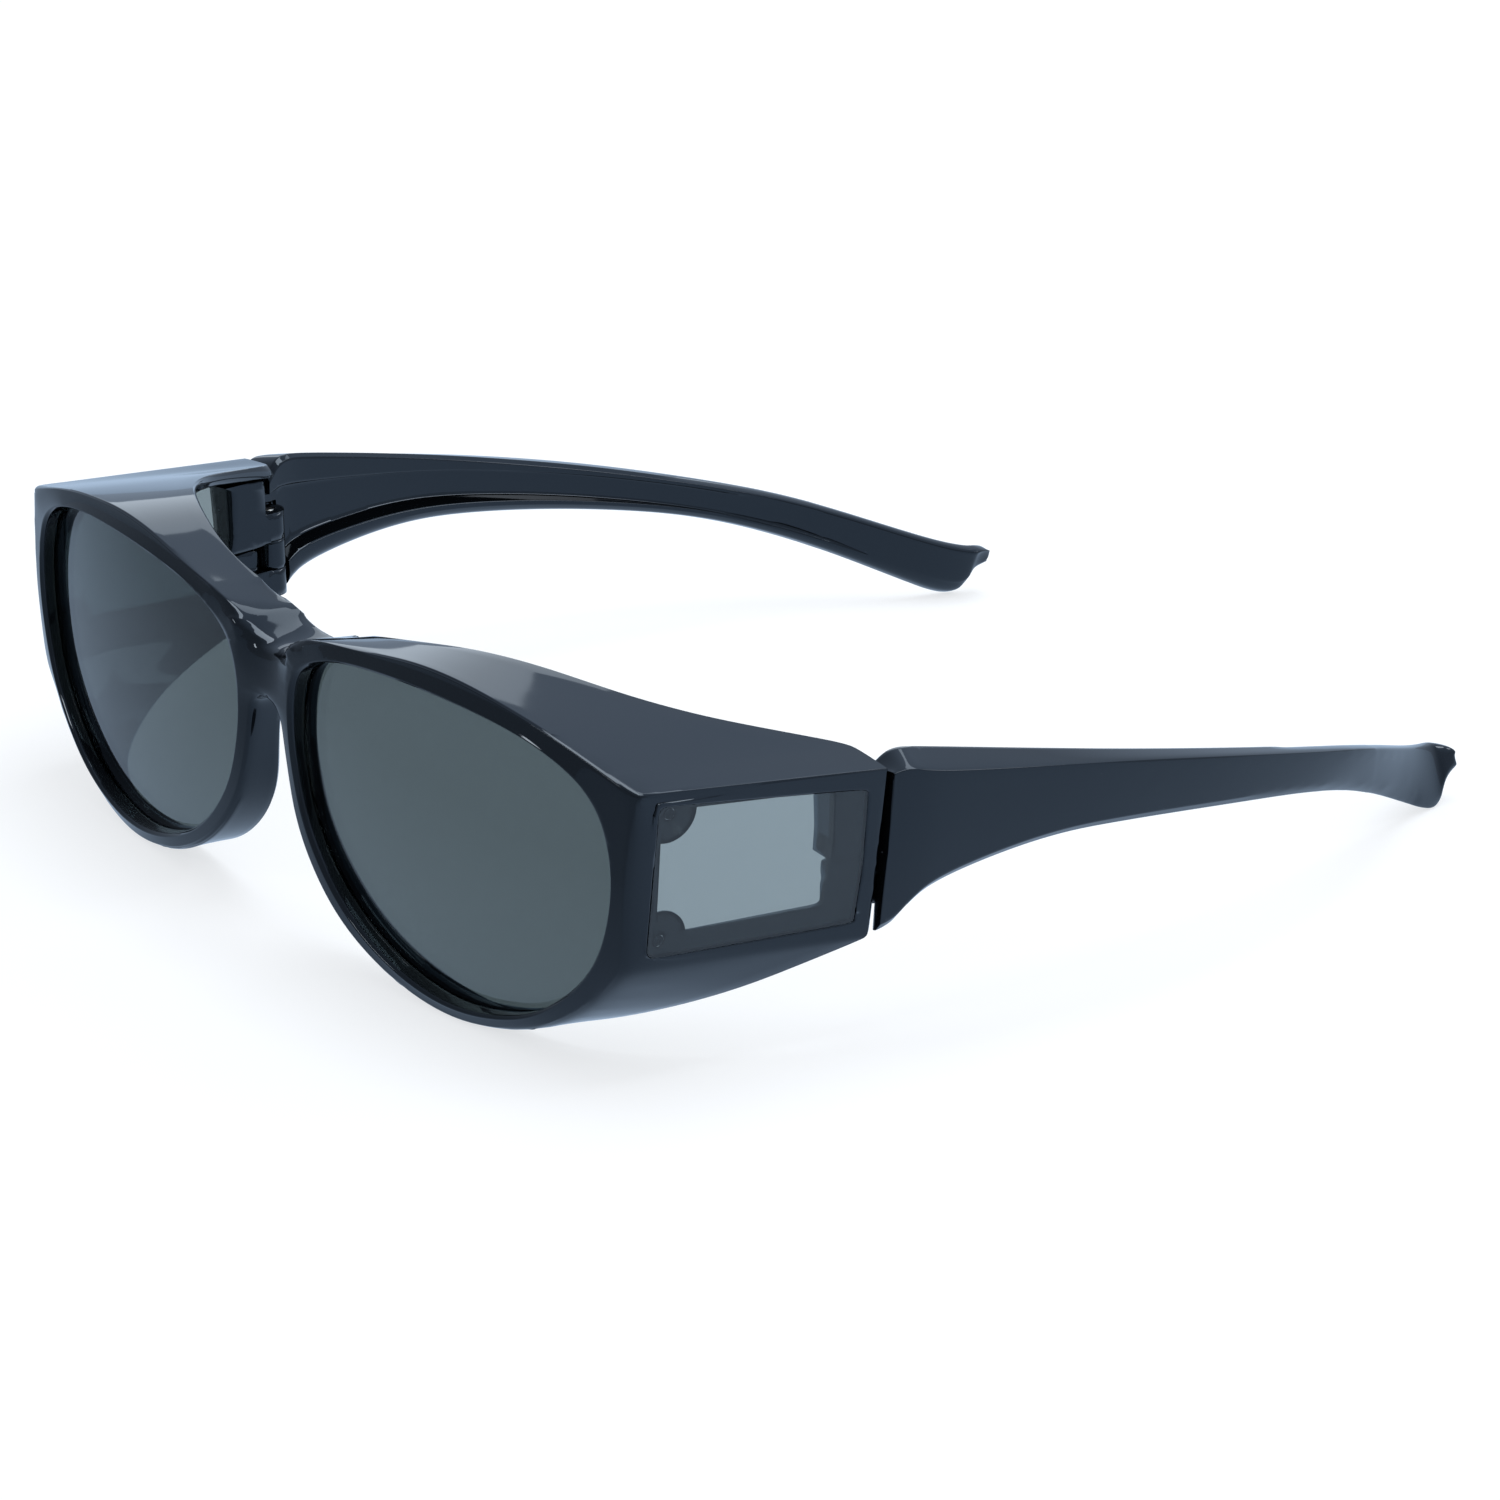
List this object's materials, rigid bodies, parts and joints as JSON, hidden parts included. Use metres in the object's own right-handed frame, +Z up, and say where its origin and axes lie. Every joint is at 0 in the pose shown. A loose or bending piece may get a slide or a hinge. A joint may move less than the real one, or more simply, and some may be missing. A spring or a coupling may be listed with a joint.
{
  "type": "fit-over safety glasses",
  "caption": "Wraparound fit-over safety glasses: a moulded front with shaded front and side lenses, a brow shelf, and temples that fold on screwed hinges.",
  "frame": {"origin": "centre of the footprint of the whole object, on the ground plane it stands on", "axes": "-Y towards the front of the lenses, +Y towards the temple tips, +X to the wearer's left, +Z up; the glasses stand open on their rims and temple tips"},
  "size_m": [0.154, 0.1756, 0.0487],
  "materials": {
    "frame": "polished moulded black",
    "temple": "polished moulded black",
    "front_lens": "smoke-tinted polycarbonate",
    "side_lens": "lightly smoke-tinted polycarbonate",
    "screw": "bright steel"
  },
  "bodies": {
    "front": {"front_frame": "frame", "lens_left": "front_lens", "lens_right": "front_lens", "side_lens_left": "side_lens", "side_lens_right": "side_lens", "hinge_screw_left": "screw", "hinge_screw_right": "screw"},
    "left_temple": {"temple_left": "temple"},
    "right_temple": {"temple_right": "temple"}
  },
  "joints": [
    {"name": "left_temple_fold", "type": "hinge", "parent": "front", "child": "left_temple", "pos_m": [0.0701, -0.03892, 0.02507], "axis": [0, -0.0507, 0.9987], "range_deg": [0, 90]},
    {"name": "right_temple_fold", "type": "hinge", "parent": "front", "child": "right_temple", "pos_m": [-0.0701, -0.03892, 0.02507], "axis": [0, 0.0507, -0.9987], "range_deg": [0, 82]}
  ]
}
